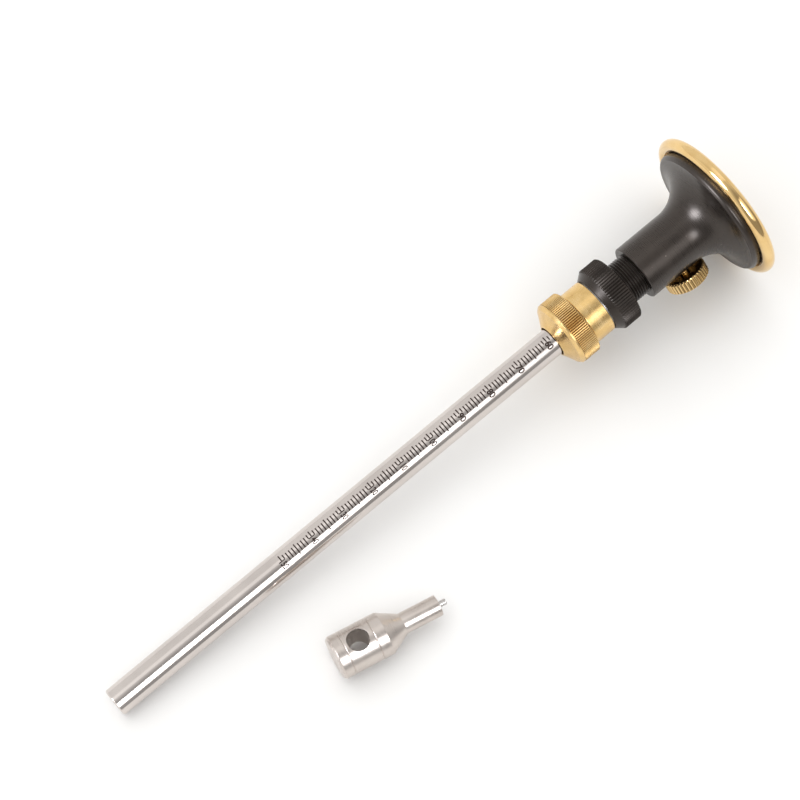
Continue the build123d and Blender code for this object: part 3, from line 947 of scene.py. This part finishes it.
def collet():
    """Brass tube, collar, outside thread and slit nose."""
    start, end, bore, collar = span("collet_body", GAUGE)
    clip = span("collet_clip", GAUGE)
    front = rounded([
        (start, bore, 0),
        (start, COLLET_TUBE, 0.1),
        (clip.start - SEAT_GAP, COLLET_TUBE, 0),
        (clip.start - SEAT_GAP, CLIP_GROOVE, 0),
        (clip.end + SEAT_GAP, CLIP_GROOVE, 0),
        (clip.end + SEAT_GAP, COLLET_TUBE, 0),
        (COLLAR_START, COLLET_TUBE, 0),
        (COLLAR_START, collar, 0.22),
        (COLLAR_END, collar, 0.22),
        (COLLAR_END, COLLET_ROOT, 0),
    ])
    nose = [(NOSE_START, COLLET_ROOT), (end, NOSE_RADIUS), (end, bore)]

    def section(angle):
        return front + thread_rows(angle, COLLAR_END, NOSE_START, COLLET_THREAD) + nose

    mesh = skin("collet", section)
    length = end + 1 - SLIT_START
    middle = Matrix.Translation(((SLIT_START + length / 2) * MM, 0, 0))
    for turn in (0, TURN / 4):
        slit = slab(length, 4 * COLLET_THREAD, SLIT_WIDTH)
        mesh = carved(mesh, slit, Matrix.Rotation(turn, 4, "X") @ middle)
    show("collet", mesh, GAUGE, "collet", "satin_brass", FINISHES["satin_brass"], "collet_body")


def clamp_nut():
    """Knurled brass nut, flat in front, with a chamfer, a small step and a conical end behind."""
    start, end, mouth, radius = span("collet_nut", GAUGE)
    step_station = NUT_RIM_END + NUT_CHAMFER
    step_radius = radius - NUT_CHAMFER
    shoulder = span("collet_cone_ring", GAUGE).end + SEAT_GAP
    thread_bore = COLLET_THREAD + RUNNING
    outline = rounded([
        (start, thread_bore, 0),
        (start, radius - NUT_EDGE - KNURL_FACE, 0),
        (start, radius - NUT_EDGE, 0),
        (start + NUT_EDGE, radius, 0),
        (NUT_KNURL_END, radius, 0),
        (NUT_KNURL_END, radius - NUT_GROOVE, 0),
        (NUT_KNURL_END + HOLD, radius - NUT_GROOVE, 0),
        (NUT_KNURL_END + 2 * HOLD, radius - HOLD, 0),
        (NUT_RIM_END, radius - HOLD, 0.06),
        (step_station, step_radius, 0.05),
        (step_station, step_radius - NUT_STEP, 0),
        (end, mouth + NUT_LAND, 0.15),
        (end, mouth, 0),
        (shoulder, mouth, 0),
        (shoulder, thread_bore, 0),
    ])

    def section(angle):
        limit = radius - groove(angle, NUT_TEETH, NUT_GROOVE, NUT_CREST)
        return [(station, min(r, limit) if station <= NUT_KNURL_END else r) for station, r in outline]

    mesh = skin("clamp_nut", section, NUT_TEETH * KNURL_STEPS)
    show("clamp_nut", mesh, GAUGE, "nut", "satin_brass", FINISHES["satin_brass"], "collet_nut")


# ------------------------------------------------------------------ key
KEY_CHAMFER = 0.6
KEY_GROOVES = (3.15, 11.35)
KEY_GROOVE_DEPTH = 0.18
KEY_SHOULDER = 14.35
KEY_NECK_START = 19.75
KEY_NECK = 2.9
KEY_HOLE = MOUNTS["key_hole"]["dims"]["r_mm"]
KEY_HOLE_EDGE = 0.12  # width of the broken edge round the hole
KEY_HOLE_SEGMENTS = 160
BIT = span("key_bit", KEY)
FORK_SLOT = (0.55, 1.6)  # width, depth


def cross_hole(radius):
    """Cutter for the hole through the handle, along X and flared where it leaves a round surface."""
    def section(angle):
        brim = math.sqrt(radius ** 2 - (KEY_HOLE * math.sin(angle)) ** 2) - KEY_HOLE_EDGE
        flare = KEY_HOLE + radius - brim
        return [
            (-radius, 0),
            (-radius, flare),
            (-brim, KEY_HOLE),
            (brim, KEY_HOLE),
            (radius, flare),
            (radius, 0),
        ]

    return skin("cross_hole", section, KEY_HOLE_SEGMENTS)


def key_grip():
    """Turned steel handle: two fine grooves, a cross hole, a cone and a neck."""
    handle = span("key_handle", KEY)
    radius = handle.outer
    corners = [
        (handle.start, 0, 0),
        (handle.start, radius - KEY_CHAMFER, 0.15),
        (KEY_CHAMFER, radius, 0.15),
    ]
    for station in KEY_GROOVES:
        corners += [
            (station - KEY_GROOVE_DEPTH, radius, 0.12),
            (station, radius - KEY_GROOVE_DEPTH, 0.08),
            (station + KEY_GROOVE_DEPTH, radius, 0.12),
        ]
    corners += [
        (KEY_SHOULDER, radius, 0.2),
        (KEY_NECK_START, KEY_NECK, 0.6),
        (handle.end, KEY_NECK, 0.15),
        (handle.end, BIT.outer, 0),
        (BIT.start, BIT.outer, 0),
        (BIT.start, 0, 0),
    ]
    hole = KEY.inverted() @ Vector(MOUNTS["key_hole"]["pos_m"])
    upright = Matrix.Translation(hole) @ Matrix.Rotation(-TURN / 4, 4, "Y")
    mesh = carved(turned("key_grip", corners, FINE), cross_hole(radius), upright)
    mesh.transform(KEY.to_3x3().to_4x4())
    place = Matrix.Translation(KEY.translation)
    show("key_grip", mesh, place, "key", "bar_steel", FINISHES["turned_steel"], "key_handle")


def key_fork():
    """Small hardened pin at the key's tip, slotted into a fork."""
    width, depth = FORK_SLOT
    corners = [
        (BIT.start, 0, 0),
        (BIT.start, BIT.outer, 0),
        (BIT.end, BIT.outer, 0.18),
        (BIT.end, 0, 0),
    ]
    tip = Matrix.Translation((BIT.end * MM, 0, 0))
    mesh = carved(turned("key_fork", corners, MEDIUM), slab(2 * depth, width, 4 * BIT.outer), tip)
    show("key_fork", mesh, KEY, "key", "hard_steel", FINISHES["hard_steel"], "key_bit")


# ------------------------------------------------------------------ CAD pieces that stay as they are
CARRIED = {
    "thumbscrew_pad": "pad_nylon",
    "adjuster_washer": "hard_steel",
    "collet_clip": "hard_steel",
    "collet_cone_ring": "satin_brass",
}


def dress_carried():
    """Gives the inner pieces that keep their CAD shape their finishes."""
    for node, finish in CARRIED.items():
        mesh = frame["nodes"][node].data
        mesh.materials.clear()
        mesh.materials.append(FINISHES[finish])


steel_bar()
scale_marks()
scale_figures()
cutting_wheel()
wheel_screw()
brass_face()
face_screws()
fence_flare()
locking_knob()
threaded_sleeve()
knurled_ring()
collet()
clamp_nut()
key_grip()
key_fork()
dress_carried()


# ------------------------------------------------------------------ floor, light and camera
FOOT = Vector((GAUGE.translation.x, GAUGE.translation.y, 0))
AIM = FOOT + Vector((-95.3, 17.7, 0)) * MM
CAMERA = FOOT + Vector((-247.8, -165.7, 677.0)) * MM
LENS = 120.4
SENSOR = 36
LIGHT_DISTANCE = 1.3
WHITE = (1.0, 1.0, 1.0)
COOL = (0.86, 0.91, 1.0)
FLOOR_HALF = 3.0  # half the floor's side, in metres

# The walls go from dim to bright toward +Y, and brighten toward both ends of the gauge.
WALL_COLOUR = (1.0, 0.995, 0.985, 1)
WALL_DIM = 0.4
WALL_BRIGHT = 0.92
WALL_DIM_AT = -0.28
WALL_BRIGHT_AT = 0.2
WALL_END_LIFT = 0.5


def paper():
    """Smooth off-white paper that the gauge lies on."""
    finish = Finish("paper", Metallic=0.0, Specular_IOR_Level=0.2)
    tone = finish.noise(finish.place, 14, 3.0, 0.5)
    fibre = finish.noise(finish.place, 2500, 3.0, 0.6)
    finish.set("Base Color", finish.ramp(tone, [(0.35, (0.84, 0.835, 0.825)), (0.65, (0.87, 0.867, 0.86))]))
    finish.set("Roughness", finish.swing(fibre, 0.75, 0.9))
    finish.set("Normal", finish.bump(fibre, 0.00003, 0.2))
    return finish.material


def floor():
    """Wide pale sheet under the object."""
    shape = bmesh.new()
    bmesh.ops.create_grid(shape, x_segments=8, y_segments=8, size=FLOOR_HALF)
    mesh = to_mesh("floor", shape)
    mesh.materials.append(paper())
    sheet = bpy.data.objects.new("floor", mesh)
    bpy.context.scene.collection.objects.link(sheet)


def softbox(name, lean, tailward, half_width, half_length, radiance, shape="RECTANGLE", colour=WHITE):
    """Flat light over the gauge: its direction and its size, all in degrees.

    It leans from straight up toward the key's side, then toward the tail.
    """
    across = math.radians(lean)
    along = math.radians(tailward)
    sideways = -math.cos(along) * math.sin(across)
    upward = math.cos(along) * math.cos(across)
    out = Vector((-math.sin(along), sideways, upward))
    data = bpy.data.lights.new(name, "AREA")
    data.shape = shape
    data.size = 2 * LIGHT_DISTANCE * math.tan(math.radians(half_length))
    data.size_y = 2 * LIGHT_DISTANCE * math.tan(math.radians(half_width))
    data.energy = radiance * math.pi * data.size * data.size_y
    data.color = colour
    lamp = bpy.data.objects.new(name, data)
    lamp.matrix_world = axes_to_matrix(AIM + out * LIGHT_DISTANCE, Vector((1, 0, 0)) - out * out.x, out)
    bpy.context.scene.collection.objects.link(lamp)
    return lamp


def studio_lights():
    """Lamps that are seen only in the metal, and broad soft fills that light the paper."""
    for lamp in (
        softbox("overhead", -17, -7, 12, 30, 0.25),
        softbox("key_strip", 44, -12, 18, 24, 0.8),
        softbox("key_light", 44, 3, 15, 12, 2.0, "ELLIPSE"),
        softbox("key_core", 43, 11, 11, 8, 8.0, "ELLIPSE", COOL),
        softbox("tail_lamp", -17, 52, 13, 15, 12.0, "ELLIPSE", COOL),
    ):
        lamp.visible_diffuse = False
    for fill in (
        softbox("side_fill", -38, 0, 24, 25, 0.45),
        softbox("top_fill", 0, 0, 50, 50, 0.75),
    ):
        fill.visible_glossy = False


def surroundings():
    """Pale studio walls: brighter beyond the gauge and past its ends than on the key's side."""
    world = bpy.data.worlds.new("studio")
    world.use_nodes = True
    bpy.context.scene.world = world
    nodes = world.node_tree.nodes
    links = world.node_tree.links
    place = nodes.new("ShaderNodeTexCoord")
    apart = nodes.new("ShaderNodeSeparateXYZ")
    fade = nodes.new("ShaderNodeMapRange")
    fade.inputs["From Min"].default_value = WALL_DIM_AT
    fade.inputs["From Max"].default_value = WALL_BRIGHT_AT
    fade.inputs["To Min"].default_value = WALL_DIM
    fade.inputs["To Max"].default_value = WALL_BRIGHT
    ends = nodes.new("ShaderNodeMath")
    ends.operation = "MULTIPLY"
    lift = nodes.new("ShaderNodeMath")
    lift.operation = "MULTIPLY_ADD"
    lift.inputs[1].default_value = WALL_END_LIFT
    links.new(place.outputs["Generated"], apart.inputs[0])
    links.new(apart.outputs["X"], ends.inputs[0])
    links.new(apart.outputs["X"], ends.inputs[1])
    links.new(ends.outputs[0], lift.inputs[0])
    links.new(apart.outputs["Y"], lift.inputs[2])
    links.new(lift.outputs[0], fade.inputs["Value"])
    links.new(fade.outputs["Result"], nodes["Background"].inputs["Strength"])
    nodes["Background"].inputs["Color"].default_value = WALL_COLOUR


def camera():
    """Camera over the tail's side, looking down on the gauge."""
    data = bpy.data.cameras.new("camera")
    data.lens = LENS
    data.sensor_width = SENSOR
    eye = bpy.data.objects.new("camera", data)
    eye.location = CAMERA
    eye.rotation_euler = (AIM - CAMERA).to_track_quat("-Z", "Y").to_euler()
    bpy.context.scene.collection.objects.link(eye)
    bpy.context.scene.camera = eye


floor()
studio_lights()
surroundings()
camera()
bpy.context.scene.view_settings.view_transform = "Standard"
